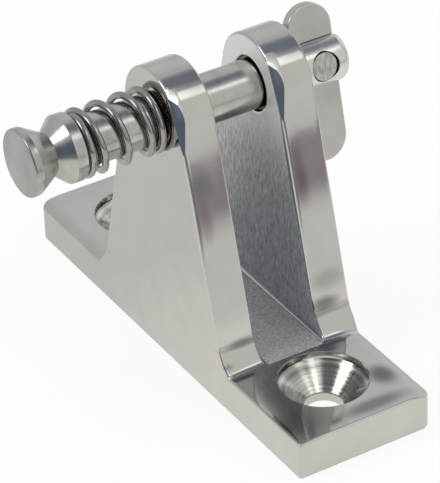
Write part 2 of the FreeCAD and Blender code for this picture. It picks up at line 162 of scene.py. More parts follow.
class DeckHingeToggle(PropertyGroup):
    width: length("Width", 6.3, "Width of the toggle's plate")
    thickness: length("Thickness", 1.5, "Thickness of the toggle's plate")
    short_reach: length("Short reach", 7.7, "Reach of the upper end from the rivet")
    long_reach: length("Long reach", 12.9, "Reach of the lower end from the rivet")
    pivot_offset: length("Pivot offset", 0.2, "How far the rivet is off the plate's middle")
    edge: length("Edge", 0.25, "Bevel around both faces")
    rivet_length: length("Rivet length", 5.8, "Length of the rivet across the pin")
    rivet_edge: length("Rivet edge", 0.2, "Bevel at the rivet's ends")


class DeckHingeFinish(PropertyGroup):
    casting: colour("Casting", (0.60, 0.59, 0.57), "Polished stainless casting")
    slot_floor: colour("Slot", (0.58, 0.6, 0.62), "Unpolished walls and floor of the slot")
    turned: colour("Turned steel", (0.52, 0.51, 0.49), "Turned pin")
    wire: colour("Spring wire", (0.38, 0.36, 0.36), "Drawn wire")
    rivet: colour("Rivet", (0.56, 0.56, 0.55), "Rivet head")
    plate: colour("Toggle plate", (0.60, 0.59, 0.57), "Satin plate")


class DeckHingeStage(PropertyGroup):
    lens: number("Lens", 238.48, "Focal length in millimetres")
    shift: number("Shift", 0.0756, "Sideways shift of the view")
    lift: number("Lift", -0.0008, "Upward shift of the view")
    place: triple(
        "Camera place", (-0.16845, -0.28506, 0.23561), "Where it stands", subtype="TRANSLATION"
    )
    turn: triple(
        "Camera turn",
        [radians(angle) for angle in (56.063, 2.159, -31.142)],
        "How it is turned",
        subtype="EULER",
    )
    steps: IntProperty(name="Steps", description="Sides of a large turned piece", default=96)
    small_steps: IntProperty(name="Small steps", description="Sides of a small one", default=64)


# Modelling helpers


def only(piece):
    """Make this the one selected and active object."""
    bpy.ops.object.select_all(action="DESELECT")
    piece.select_set(True)
    bpy.context.view_layer.objects.active = piece


def start_piece(name):
    """Name the primitive that was just added, with its place and size in its mesh."""
    piece = bpy.context.active_object
    piece.name = name
    piece.data.name = name
    only(piece)
    bpy.ops.object.transform_apply(location=True, rotation=True, scale=True)
    return piece


def edit(piece):
    """Open this piece in edit mode."""
    only(piece)
    bpy.ops.object.mode_set(mode="EDIT")


def leave():
    """Go back to object mode."""
    bpy.ops.object.mode_set(mode="OBJECT")


def select_all():
    """In edit mode, select the whole piece."""
    bpy.ops.mesh.select_all(action="SELECT")


def face_outwards():
    """In edit mode, merge the seams and turn every face outwards."""
    select_all()
    bpy.ops.mesh.remove_doubles(threshold=NEAR / 10)
    bpy.ops.mesh.normals_make_consistent(inside=False)


def give_slot(piece, index):
    """In edit mode, give the selected faces a material slot."""
    piece.active_material_index = index
    bpy.ops.object.material_slot_assign()


def pick(piece, kind, wanted):
    """In edit mode, select only the VERT, EDGE or FACE elements that pass wanted(element)."""
    bpy.ops.mesh.select_mode(type=kind)
    bpy.ops.mesh.select_all(action="DESELECT")
    mesh = bmesh.from_edit_mesh(piece.data)
    elements = {"VERT": mesh.verts, "EDGE": mesh.edges, "FACE": mesh.faces}[kind]
    chosen = 0
    for element in elements:
        if wanted(element):
            element.select_set(True)
            chosen += 1
    mesh.select_flush_mode()
    bmesh.update_edit_mesh(piece.data)
    if not chosen:
        raise RuntimeError(f"nothing to select on {piece.name}")


def apply(piece, modifier):
    only(piece)
    bpy.ops.object.modifier_apply(modifier=modifier.name)


def cut(piece, cutter):
    """Take the cutter's shape out of the piece, and the cutter out of the scene."""
    before = len(piece.data.polygons)
    boolean = piece.modifiers.new("Cut", "BOOLEAN")
    boolean.operation = "DIFFERENCE"
    boolean.solver = "EXACT"
    boolean.object = cutter
    apply(piece, boolean)
    bpy.data.objects.remove(cutter)
    if len(piece.data.polygons) == before:
        raise RuntimeError(f"{piece.name} is not cut")


def weigh_edges(piece, weight_of):
    """Give each edge the bevel weight that weight_of(start, end) returns."""
    mesh = piece.data
    weights = mesh.attributes.new("bevel_weight_edge", "FLOAT", "EDGE")
    marked = 0
    for edge in mesh.edges:
        start, end = (mesh.vertices[index].co for index in edge.vertices)
        weight = float(weight_of(start, end))
        weights.data[edge.index].value = weight
        marked += weight > 0
    if not marked:
        raise RuntimeError(f"no edge of {piece.name} to bevel")


def bevel_weighed(piece, width, segments):
    """Round the weighed edges, full width at weight 1, and clear their weights."""
    bevel = piece.modifiers.new("Edges", "BEVEL")
    bevel.limit_method = "WEIGHT"
    bevel.width = width
    bevel.segments = segments
    bevel.material = 0
    bevel.use_clamp_overlap = False
    apply(piece, bevel)
    weights = piece.data.attributes.get("bevel_weight_edge")
    if weights is not None:
        piece.data.attributes.remove(weights)


# Edges that turn by more degrees stay crisp: on most pieces, the bracket and the spring.
CRISP, CRISP_BRACKET, CRISP_SPRING = 32, 24, 50


def smooth(piece, angle=CRISP):
    """Shade the curved parts smooth and keep the flat ones flat."""
    only(piece)
    bpy.ops.object.shade_smooth_by_angle(angle=radians(angle))
    weighted = piece.modifiers.new("Flats", "WEIGHTED_NORMAL")
    weighted.keep_sharp = True
    apply(piece, weighted)


def rounded_line(corners, segments=6):
    """Points along a line of (along, across, radius) corners, each corner turned on an arc."""
    points = []
    for index, (along, across, radius) in enumerate(corners):
        corner = Vector((along, across))
        if radius == 0:
            points.append(corner)
            continue
        back = (Vector(corners[index - 1][:2]) - corner).normalized()
        on = (Vector(corners[index + 1][:2]) - corner).normalized()
        half = back.angle(on) / 2
        centre = corner + (back + on).normalized() * radius / sin(half)
        first = corner + back * radius / tan(half) - centre
        last = corner + on * radius / tan(half) - centre
        for step in range(segments + 1):
            points.append(centre + first.slerp(last, step / segments).normalized() * radius)
    return points


def lathe(name, points, axis, foot, steps):
    """Turn a line of (along, out) points about an axis through the foot."""
    out = UP if axis.x else ALONG_PIN
    first = foot + axis * points[0][0] + out * points[0][1]
    bpy.ops.mesh.primitive_plane_add(size=MM, location=first)
    piece = start_piece(name)
    edit(piece)
    bpy.ops.mesh.select_mode(type="VERT")
    select_all()
    bpy.ops.mesh.merge(type="CENTER")
    for here, there in zip(points, points[1:]):
        move = axis * (there[0] - here[0]) + out * (there[1] - here[1])
        bpy.ops.mesh.extrude_region_move(TRANSFORM_OT_translate={"value": move})
    select_all()
    bpy.ops.mesh.spin(steps=steps, angle=2 * pi, center=foot, axis=axis)
    face_outwards()
    leave()
    return piece


def drill(piece, name, radius, reach, axis, place, steps):
    """Drill a round hole through the piece, as far both ways from the place as the reach."""
    outline = [(-reach, 0), (-reach, radius), (reach, radius), (reach, 0)]
    cut(piece, lathe(name, outline, axis, place, steps))


def turn_with_pin(piece, angle):
    """Turn a piece about the pin's axis, into its mesh."""
    only(piece)
    piece.location = (0, 0, -PIN_HEIGHT)
    bpy.ops.object.transform_apply(location=True, rotation=False, scale=False)
    piece.rotation_euler.x = angle
    piece.location = (0, 0, PIN_HEIGHT)
    bpy.ops.object.transform_apply(location=True, rotation=True, scale=False)


def dress(piece, body, node, slot, *materials):
    """Give a finished piece its materials, its body, and the node that it stands for."""
    for index, material in enumerate(materials):
        if index < len(piece.data.materials):
            piece.data.materials[index] = material
        else:
            piece.data.materials.append(material)
    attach(piece, body)
    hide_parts(node)


# Materials


class Nodes:
    """A node tree that is built up in code."""

    def __init__(self, tree):
        self.tree = tree

    def fill(self, node, inputs):
        """Join a node's inputs to other nodes' outputs, or set them to values."""
        for key, value in inputs.items():
            socket = node.inputs[key]
            if isinstance(value, NodeSocket):
                self.tree.links.new(value, socket)
            elif isinstance(value, tuple) and len(socket.default_value) > len(value):
                socket.default_value = (*value, 1)
            else:
                socket.default_value = value

    def node(self, kind, inputs, **settings):
        made = self.tree.nodes.new(kind)
        for key, value in settings.items():
            setattr(made, key, value)
        self.fill(made, inputs)
        return made

    def math(self, operation, *values, kind="ShaderNodeMath"):
        """The number that an operation makes of these numbers or, by its kind, vectors."""
        return self.node(kind, dict(enumerate(values)), operation=operation).outputs["Value"]

    def spread(self, source, low, high, start=0.3, end=0.7, blend="LINEAR"):
        """Map a range of the source, for a noise its middle range, to low … high."""
        ends = {"From Min": start, "From Max": end, "To Min": low, "To Max": high}
        inputs = {"Value": source, **ends}
        return self.node("ShaderNodeMapRange", inputs, interpolation_type=blend).outputs["Result"]

    def tone(self, share, under, over):
        """One colour over another by a share; each is a colour or another node's output."""
        inputs = {"Factor": share, "A": under, "B": over}
        return self.node("ShaderNodeMix", inputs, data_type="RGBA").outputs["Result"]


class Finish(Nodes):
    """The node tree of one metal, over its object coordinates."""

    def __init__(self, name, metallic=1):
        self.material = bpy.data.materials.new(name)
        self.material.use_nodes = True
        super().__init__(self.material.node_tree)
        self.shader = self.tree.nodes["Principled BSDF"]
        self.fill(self.shader, {"Metallic": metallic})
        self.place = self.node("ShaderNodeTexCoord", {}).outputs["Object"]

    def noise(self, scale, detail=3, roughness=0.5, stretch=(1, 1, 1), turn=0):
        """A noise over the object's coordinates, turned and scaled first."""
        inputs = {"Vector": self.place, "Rotation": (0, 0, turn), "Scale": stretch}
        place = self.node("ShaderNodeMapping", inputs).outputs["Vector"]
        inputs = {"Vector": place, "Scale": scale, "Detail": detail, "Roughness": roughness}
        return self.node("ShaderNodeTexNoise", inputs).outputs["Fac"]

    def tint(self, source, dark, light):
        """Vary the base colour between two tones by a noise."""
        ramp = self.node("ShaderNodeValToRGB", {"Fac": source})
        stops = ramp.color_ramp.elements
        stops[0].position, stops[1].position = 0.3, 0.7
        stops[0].color, stops[1].color = (*dark, 1), (*light, 1)
        self.fill(self.shader, {"Base Color": ramp.outputs["Color"]})

    def vary(self, source, base, low, high):
        """Vary the base colour between two strengths of one colour."""
        self.tint(source, *(tuple(min(1, part * share) for part in base) for share in (low, high)))

    def cover(self, tone, share):
        """Lay a tone over the base colour by a share from 0 to 1."""
        under = self.shader.inputs["Base Color"].links[0].from_socket
        self.fill(self.shader, {"Base Color": self.tone(share, under, tone)})

    def spot(self, middle, reach, share):
        """A soft spot by its middle and reach in millimetres."""
        start = [-place / size for place, size in zip(middle, reach)]
        scale = [1 / (size * MM) for size in reach]
        inputs = {"Vector": self.place, "Location": start, "Scale": scale}
        around = self.node("ShaderNodeMapping", inputs).outputs["Vector"]
        out = self.math("LENGTH", around, kind="ShaderNodeVectorMath")
        return self.spread(out, share, 0, 0.2, 1, "SMOOTHSTEP")

    def part(self, axis):
        """One of the object's coordinates, X, Y or Z."""
        return self.node("ShaderNodeSeparateXYZ", {"Vector": self.place}).outputs[axis]

    def surface(self, noise, low, high, *bumps):
        """Vary the roughness by a noise, and stack bumps of (height, depth in millimetres)."""
        normal = {}
        for height, depth in bumps:
            inputs = {"Strength": 1, "Distance": depth * MM, "Height": height, **normal}
            normal = {"Normal": self.node("ShaderNodeBump", inputs).outputs["Normal"]}
        self.fill(self.shader, {"Roughness": self.spread(noise, low, high), **normal})
        return self.material


# Tones for painted light: dark for painted shade and dark reflections, blue and maroon for painted
# reflections, white for painted highlights.
PAINTED_SHADE = (0.12, 0.11, 0.12)
PAINTED_BLUE_REFLECTION = (0.1, 0.16, 0.24)
PAINTED_MAROON_REFLECTION = (0.2, 0.1, 0.12)
GLINT = (1, 1, 1)

# Painted shade and painted dark, blue and maroon reflections on the casting: middle and reach in
# millimetres, how much shows, its tone.
MARKS = (
    # Painted dark reflections on the base's top.
    ((6.4, -25.4, 5.1), (2.6, 3.0, 1.5), 0.8, PAINTED_SHADE),
    ((2.1, -29.9, 5.1), (7.0, 1.7, 1.5), 0.65, PAINTED_SHADE),
    ((-5.5, -23.5, 5.1), (4.5, 8.0, 1.5), 0.4, PAINTED_SHADE),
    ((-7.0, -28.0, 5.1), (3.5, 4.5, 1.5), 0.45, PAINTED_SHADE),
    ((0.5, -17.5, 5.1), (9.0, 2.2, 1.5), 0.3, PAINTED_SHADE),
    # Painted dark reflections on the ears' feet.
    ((-6.2, -13.6, 7.9), (2.9, 2.0, 0.75), 0.6, PAINTED_SHADE),
    ((6.0, -13.5, 8.7), (3.0, 2.0, 1.4), 0.75, PAINTED_SHADE),
    ((7.0, -12.9, 11.6), (3.6, 2.6, 2.0), 0.3, PAINTED_SHADE),
    # Painted shade along the knees, just above the crease.
    ((0, -13.7, 7.6), (16, 2.0, 0.5), 0.45, PAINTED_SHADE),
    ((0, 13.7, 7.6), (16, 2.0, 0.5), 0.45, PAINTED_SHADE),
    # Painted blue reflections on the left foot's corner and the flanks, then painted maroon
    # reflections on the flanks.
    ((-9.2, -15.5, 6.0), (1.6, 1.5, 0.5), 0.7, PAINTED_BLUE_REFLECTION),
    ((-7.9, -9.0, 28.8), (2.6, 2.0, 3.4), 0.3, PAINTED_BLUE_REFLECTION),
    ((5.3, -9.0, 28.6), (1.5, 2.0, 4.4), 0.35, PAINTED_BLUE_REFLECTION),
    ((-8.1, -10.0, 24.3), (1.5, 2.0, 4.4), 0.45, PAINTED_MAROON_REFLECTION),
    ((5.7, -9.7, 25.2), (1.4, 2.0, 5.4), 0.5, PAINTED_MAROON_REFLECTION),
)

# Painted shade over the reflected bright band, a painted blue reflection and two painted highlights
# on the left ear's round top. The right ear has them too, a step to the right.
TOP_MARKS = (
    ((-5.2, -4.8, 40.1), (4.6, 1.9, 1.9), 0.72, PAINTED_SHADE),
    ((-9.5, -3.0, 41.2), (3.2, 1.6, 1.2), 0.85, PAINTED_BLUE_REFLECTION),
    ((-9.6, -5.2, 39.8), (1.7, 1.5, 1.5), 1, GLINT),
    ((-8.9, -6.0, 38.4), (0.75, 1.8, 2.4), 0.9, GLINT),
)
EAR_STEP = 13.9


def painted_spots():
    """All painted shade, reflections and highlights, with the tops' ones on both ears."""
    yield from MARKS
    for (across, *place), *rest in TOP_MARKS:
        for step in (0, EAR_STEP):
            yield (across + step, *place), *rest


def polished_casting(base):
    """Buffed casting: soft waves left by the wheel, and fine lines along the buffing."""
    finish = Finish("polished_casting")
    waves = finish.noise(90, detail=1, stretch=(1, 1, 0.6))
    lines = finish.noise(5200, stretch=(1, 1, 0.08), turn=0.1)
    clouds = finish.noise(240, detail=4)
    finish.vary(clouds, base, 0.96, 1.03)
    # Lay painted shade, painted reflections and painted highlights over the colour.
    for middle, reach, share, tone in painted_spots():
        finish.cover(tone, finish.spot(middle, reach, share))
    return finish.surface(clouds, 0.03, 0.08, (waves, 0.01), (lines, 0.0003))


# The turned countersinks' light tone, and painted shade on the back of the front one's cone, under
# its lip.
SINK_TONE = (0.74, 0.75, 0.69)
SINK_PAINTED_SHADE = ((-0.5, -17.6, 3.6), (3.8, 1.6, 1.1), 0.6)


def turned_sink(base, hole_place):
    """The countersinks: tool rings round each screw's axis, and painted shade on one."""
    finish = Finish("turned_sink")
    both = finish.node("ShaderNodeVectorMath", {0: finish.place}, operation="ABSOLUTE")
    inputs = {"Vector": both.outputs["Vector"], "Location": (0, -hole_place, 0), "Scale": (1, 1, 0)}
    centred = finish.node("ShaderNodeMapping", inputs).outputs["Vector"]
    out = finish.math("LENGTH", centred, kind="ShaderNodeVectorMath")
    inputs = {"W": out, "Scale": 2600, "Detail": 4}
    rings = finish.node("ShaderNodeTexNoise", inputs, noise_dimensions="1D").outputs["Fac"]
    finish.tint(rings, tuple(part * 0.82 for part in base), SINK_TONE)
    # Painted shade on the back of the front cone.
    finish.cover(PAINTED_SHADE, finish.spot(*SINK_PAINTED_SHADE))
    return finish.surface(rings, 0.08, 0.2, (rings, 0.02))


# Painted light: the slot's walls are paler towards their top, where more light reaches them,
# between these heights in millimetres.
WALL_PAINTED_LIGHT = (0.98, 0.98, 0.96)
WALL_LIGHT_HEIGHTS = (22, 34)


def slot_floor(base):
    """The walls and floor of the slot, left as cast: dull and pitted, with an upright grain, and
    painted light up the walls.
    """
    finish = Finish("slot_floor", metallic=0.65)
    grain = finish.noise(4400, detail=4, roughness=0.65, stretch=(1, 1, 0.24))
    pits = finish.noise(2600)
    finish.vary(grain, base, 0.55, 1.42)
    low, high = (height * MM for height in WALL_LIGHT_HEIGHTS)
    # Painted light, paler up the walls.
    finish.cover(WALL_PAINTED_LIGHT, finish.spread(finish.part("Z"), 0, 0.85, low, high, "SMOOTHSTEP"))
    return finish.surface(pits, 0.42, 0.62, (grain, 0.045), (pits, 0.025))


# Painted light along the pin, from inside the left ear and more past the right ear, and painted
# shade on the button's face: between two places in millimetres the share goes from one to the
# other.
PIN_LIGHT_AND_SHADE = (
    (-7, -5, 0, 0.15, (0.78, 0.77, 0.74)),
    (9, 9.5, 0, 0.5, (0.86, 0.85, 0.82)),
    (-27.4, -27.2, 0.15, 0, PAINTED_SHADE),
)


def turned_steel(base):
    """Turned and lightly brushed: fine rings round the axis and a few deeper ones."""
    finish = Finish("turned_steel")
    rings = finish.noise(7000, stretch=(1, 0.03, 0.03))
    bands = finish.noise(1400, stretch=(1, 0.04, 0.04))
    clouds = finish.noise(500, detail=4, stretch=(1, 0.5, 0.5))
    finish.vary(clouds, base, 0.82, 1.14)
    # Lay the painted light and shade along the pin.
    for start, end, before, after, tone in PIN_LIGHT_AND_SHADE:
        finish.cover(tone, finish.spread(finish.part("X"), before, after, start * MM, end * MM))
    return finish.surface(bands, 0.13, 0.25, (bands, 0.005), (rings, 0.003))


def spring_wire(base):
    """Bright drawn wire."""
    finish = Finish("spring_wire")
    clouds = finish.noise(700)
    finish.vary(clouds, base, 0.94, 1.05)
    return finish.surface(clouds, 0.06, 0.14, (clouds, 0.002))


def rivet_steel(base):
    """A rivet head filed flush, with scratches up and down."""
    finish = Finish("rivet_steel")
    scratches = finish.noise(4200, detail=4, stretch=(1, 1, 0.08))
    finish.vary(scratches, base, 0.7, 1.25)
    return finish.surface(scratches, 0.2, 0.36, (scratches, 0.006))


def satin_plate(base):
    """Plate finished to a satin, with a faint grain along it."""
    finish = Finish("satin_plate")
    grain = finish.noise(5000, stretch=(1, 1, 0.06))
    clouds = finish.noise(260, detail=4)
    finish.vary(clouds, base, 0.95, 1.04)
    return finish.surface(clouds, 0.22, 0.32, (grain, 0.0012))


# The cast bracket


def on_top(angle):
    """A place on the ears' round top, as (half length, height)."""
    return Vector((TOP_RADIUS * cos(angle), PIN_HEIGHT + TOP_RADIUS * sin(angle)))


def flank(sizes):
    """The knee, as (half length, height), and the angle where the flank touches the round top."""
    knee_height = sizes.base_thickness + sizes.knee_rise
    knee = Vector((sizes.foot_length / 2 - sizes.foot_flare, knee_height))
    drop = PIN_HEIGHT - knee.y
    lean = atan2(knee.x, drop) - asin(TOP_RADIUS / hypot(knee.x, drop))
    return knee, lean


def ear_levels(sizes, flank_steps=24, top_steps=22):
    """Half length and height of the ears at each level: facet, knee cove, flank and round top."""
    knee, lean = flank(sizes)
    touch = on_top(lean)
    corners = [
        (sizes.foot_length / 2, sizes.base_thickness, 0),
        (knee.x, knee.y, sizes.knee_radius),
        (touch.x, touch.y, 0),
    ]
    levels = rounded_line(corners, segments=8)[1:-1]
    last = levels[-1]
    levels += [last.lerp(touch, step / flank_steps) for step in range(1, flank_steps)]
    angles = (lean + (pi / 2 - lean) * step / (top_steps + 0.5) for step in range(top_steps + 1))
    return levels + [on_top(angle) for angle in angles]


# How many columns of faces take up the rolling along each long side.
ROLL_COLUMNS = 5

# The left side's share of the rolling, behind the ears and in front of them.
LEFT_REAR_SHARE, LEFT_FRONT_SHARE = 0.7, 0.2

# How far below the top round the worn front edges are widest.
WORN_DEPTH = 9 * MM

# Angles in degrees up the round top: where the facets beside the bores end, and where the small
# ones above them start, end and are widest. Then the size of the block that cuts them.
FACET_HEAD = 52
CROWN_FACET = (33, 61, 47)
FACET_CUTTER = Vector((7, 20, 7)) * MM


def base_slab(sizes):
    """The flat base with round upright corners, cut where the ears and the slot stand on it."""
    bpy.ops.mesh.primitive_cube_add(
        size=1,
        location=(0, 0, sizes.base_thickness / 2),
        scale=(2 * HALF_WIDTH, 2 * HALF_LENGTH, sizes.base_thickness),
    )
    piece = start_piece("bracket_casting")
    edit(piece)

    def is_corner(edge, crisp):
        start, end = (vertex.co for vertex in edge.verts)
        return abs(start.z - end.z) > NEAR and (max(start.x, start.y) < 0) == crisp

    pick(piece, "EDGE", lambda edge: is_corner(edge, True))
    bpy.ops.mesh.bevel(offset=sizes.crisp_radius, segments=4)
    pick(piece, "EDGE", lambda edge: is_corner(edge, False))
    bpy.ops.mesh.bevel(offset=sizes.corner_radius, segments=10)
    half_gap = sizes.ear_gap / 2
    half_foot = sizes.foot_length / 2
    start = HALF_WIDTH - sizes.rolled_width
    columns = [start + sizes.rolled_width * step / ROLL_COLUMNS for step in range(ROLL_COLUMNS)]
    for across in (-half_gap, half_gap, *columns, *(-column for column in columns)):
        select_all()
        bpy.ops.mesh.bisect(plane_co=(across, 0, 0), plane_no=(1, 0, 0))
    for along in (-half_foot, half_foot):
        select_all()
        bpy.ops.mesh.bisect(plane_co=(0, along, 0), plane_no=(0, 1, 0))
    leave()
    return piece


def raise_ears(piece, sizes):
    """Draw both ears up from the base, level by level, and mark the slot."""
    half_gap = sizes.ear_gap / 2
    half_foot = sizes.foot_length / 2
    edit(piece)

    def is_level(face, in_slot):
        middle = face.calc_center_median()
        there = abs(middle.y) < half_foot and (abs(middle.x) < half_gap) == in_slot
        return face.normal.z > 0.9 and there

    def is_slot_wall(face):
        return abs(face.normal.x) > 0.99 and abs(face.calc_center_median().x) < half_gap + NEAR

    pick(piece, "FACE", lambda face: is_level(face, False))
    reach = half_foot
    height = sizes.base_thickness
    for level in ear_levels(sizes):
        rise = (0, 0, level.y - height)
        bpy.ops.mesh.extrude_region_move(TRANSFORM_OT_translate={"value": rise})
        bpy.ops.transform.resize(value=(1, level.x / reach, 1), center_override=(0, 0, level.y))
        reach = level.x
        height = level.y
    pick(piece, "FACE", lambda face: abs(face.normal.x) > 0.99 or face.normal.z < -0.99)
    bpy.ops.mesh.dissolve_limited(angle_limit=radians(1))
    pick(piece, "FACE", lambda face: is_level(face, True) or is_slot_wall(face))
    for _ in range(3):
        bpy.ops.object.material_slot_add()
    give_slot(piece, 1)
    leave()


def roll_edges(piece, sizes):
    """Lower the top of the base towards its long sides, where the wheel rolled it over."""
    top = sizes.base_thickness
    half_foot = sizes.foot_length / 2
    start = HALF_WIDTH - sizes.rolled_width
    group = piece.vertex_groups.new(name="rolled")
    for vertex in piece.data.vertices:
        place = vertex.co
        on_base_top = abs(place.z - top) < NEAR and abs(place.y) > half_foot - NEAR
        if not on_base_top or abs(place.x) < start:
            continue
        share = ((abs(place.x) - start) / sizes.rolled_width) ** 2
        if place.x < 0:
            share *= LEFT_REAR_SHARE if place.y > 0 else LEFT_FRONT_SHARE
        group.add([vertex.index], share, "REPLACE")
    roll = piece.modifiers.new("Roll", "DISPLACE")
    roll.direction = "Z"
    roll.mid_level = 0
    roll.strength = -sizes.rolled_edge
    roll.vertex_group = group.name
    apply(piece, roll)
    piece.vertex_groups.clear()


def ease_bracket(piece, sizes):
    """Fillet the ears' feet and round the edges, wider where the front ones are worn."""
    half_gap = sizes.ear_gap / 2
    half_foot = sizes.foot_length / 2
    top = sizes.base_thickness
    widest = sizes.worn_edge
    touch_height = PIN_HEIGHT + TOP_RADIUS * sin(flank(sizes)[1])

    def same(value, target):
        return abs(value - target) < NEAR

    def wear(point):
        """Share of the worn edge's extra width: only along each ear's straight front flank."""
        if point.y > 0:
            return 0
        below = touch_height - point.z
        return max(0, 1 - abs(below - WORN_DEPTH) / WORN_DEPTH)

    def weight(width, worn=0):
        """An edge's weight for this width, and more by its share of wear."""
        return (width + worn * (widest - width)) / widest

    def weight_of(start, end):
        middle = (start + end) / 2
        worn = (wear(start) + wear(end)) / 2
        upright = same(start.x, end.x) and same(start.y, end.y)
        on_floor = same(start.z, top) and same(end.z, top)
        on_side = same(abs(start.x), HALF_WIDTH) and same(abs(end.x), HALF_WIDTH)
        on_rim = same(abs(start.x), half_gap) and same(abs(end.x), half_gap)
        by_ear = abs(middle.x) > half_gap - NEAR and abs(middle.y) < half_foot + NEAR
        if on_floor and by_ear and not on_side:
            return weight(sizes.foot_fillet)
        if on_rim and start.x * end.x > 0 and middle.z > top + NEAR:
            return weight(sizes.inner_edge, worn if middle.x > 0 else 0)
        if on_side and middle.z > NEAR and not upright:
            return weight(sizes.outer_edge, worn if middle.x < 0 else 0)
        if on_floor and abs(middle.y) > HALF_LENGTH - sizes.corner_radius - NEAR:
            return weight(sizes.outer_edge)
        return 0

    weigh_edges(piece, weight_of)
    roll_edges(piece, sizes)
    bevel_weighed(piece, widest, 5)


def grind_facets(piece, sizes):
    """Grind two lens-shaped facets on each ear's left front edge, one of them on the round top."""
    knee, lean = flank(sizes)
    touch = on_top(lean)
    low = knee.lerp(touch, (sizes.facet_foot - knee.y) / (touch.y - knee.y))
    crown = [on_top(radians(angle)) for angle in CROWN_FACET]
    facets = (
        (low, on_top(radians(FACET_HEAD)), touch, sizes.facet_width),
        (*crown, sizes.crown_facet),
    )
    for side in (-HALF_WIDTH, sizes.ear_gap / 2):
        for foot, head, middle, width in facets:
            start = Vector((side, -foot.x, foot.y))
            stop = Vector((side, -head.x, head.y))
            tip = Vector((side + width, -middle.x, middle.y))
            along = (stop - start).normalized()
            outward = along.cross(tip - start).normalized()
            if outward.x > 0:
                outward = -outward
            bpy.ops.mesh.primitive_cube_add(
                size=1,
                location=(start + stop) / 2 + outward * FACET_CUTTER.z / 2,
                rotation=Matrix((along.cross(outward), along, outward)).transposed().to_euler(),
                scale=FACET_CUTTER,
            )
            cut(piece, start_piece("facet_cutter"))


def bore_ears(piece, sizes, pin_diameter, steps):
    """Bore both ears for the pin and chamfer the four mouths."""
    radius = pin_diameter / 2 + sizes.bore_clearance
    drill(piece, "bore_cutter", radius, HALF_WIDTH + 2 * MM, ALONG_PIN, PIN_MIDDLE, steps)
    faces = (sizes.ear_gap / 2, HALF_WIDTH)

    def on_mouth(point):
        out = hypot(point.y, point.z - PIN_HEIGHT)
        off = min(abs(abs(point.x) - face) for face in faces)
        return abs(out - radius) < NEAR and off < NEAR

    weigh_edges(piece, lambda start, end: on_mouth(start) and on_mouth(end))
    bevel_weighed(piece, sizes.bore_edge, 2)


def sink_screws(piece, sizes, steps):
    """Drill and countersink the two screw holes."""
    top = sizes.base_thickness
    hole = sizes.screw_hole / 2
    head = sizes.screw_head / 2
    lip = top - sizes.screw_lip
    cone_foot = lip - sizes.screw_seat
    outline = [(-MM, 0), (-MM, hole), (cone_foot, hole)]
    outline += [(lip, head), (top + MM, head), (top + MM, 0)]
    for side in (-1, 1):
        foot = Vector((0, side * sizes.screw_spacing / 2, 0))
        cut(piece, lathe("screw_cutter", outline, UP, foot, steps))

    def out_of(point):
        """How far a place is from the nearer screw's axis."""
        return hypot(point.x, abs(point.y) - sizes.screw_spacing / 2)

    def on_edge(point):
        on_rim = abs(point.z - top) < NEAR and abs(out_of(point) - head) < NEAR
        on_foot = abs(point.z - cone_foot) < NEAR and abs(out_of(point) - hole) < NEAR
        return on_rim or on_foot

    weigh_edges(piece, lambda start, end: on_edge(start) and on_edge(end))
    bevel_weighed(piece, sizes.screw_edge, 2)

    def is_sunk(face):
        middle = face.calc_center_median()
        return out_of(middle) < head - NEAR and NEAR < middle.z < top - NEAR

    edit(piece)
    pick(piece, "FACE", is_sunk)
    give_slot(piece, 2)
    leave()


class DECKHINGE_OT_bracket(Operator):
    """Model the cast bracket, a flat base and two ears, with its pin bores and screw holes"""

    bl_idname = "deck_hinge.bracket"
    bl_label = "Bracket"

    def execute(self, context):
        scene = context.scene
        sizes = scene.deck_hinge_bracket
        finish = scene.deck_hinge_finish
        steps = scene.deck_hinge_stage.steps
        piece = base_slab(sizes)
        raise_ears(piece, sizes)
        ease_bracket(piece, sizes)
        grind_facets(piece, sizes)
        bore_ears(piece, sizes, scene.deck_hinge_pin.diameter, steps)
        sink_screws(piece, sizes, steps)
        smooth(piece, CRISP_BRACKET)
        materials = (
            polished_casting(finish.casting),
            slot_floor(finish.slot_floor),
            turned_sink(finish.turned, sizes.screw_spacing / 2),
        )
        dress(piece, "bracket", "bracket", "polished_casting", *materials)
        return {"FINISHED"}


# The turned pin


def pin_outline(sizes):
    """The pin's half section from the button's face to its end, as (along X, out) points."""
    shaft = sizes.diameter / 2
    button = BUTTON_RADIUS
    waist = sizes.waist_diameter / 2
    button_back = PIN_LOW.x + sizes.button_land
    waist_x = button_back + sizes.waist_taper
    collar_x = waist_x + sizes.collar_taper
    collar_end = collar_x + sizes.collar_land
    corners = (
        (PIN_LOW.x, 0, 0),
        (PIN_LOW.x, button, sizes.button_edge),
        (button_back, button, sizes.button_edge),
        (waist_x, waist, 0),
        (collar_x, button, sizes.collar_edge),
        (collar_end, button, sizes.collar_edge),
        (collar_end, shaft, 0),
        (PIN_HIGH.x, shaft, sizes.end_radius),
        (PIN_HIGH.x, 0, 0),
    )
    return rounded_line(corners)


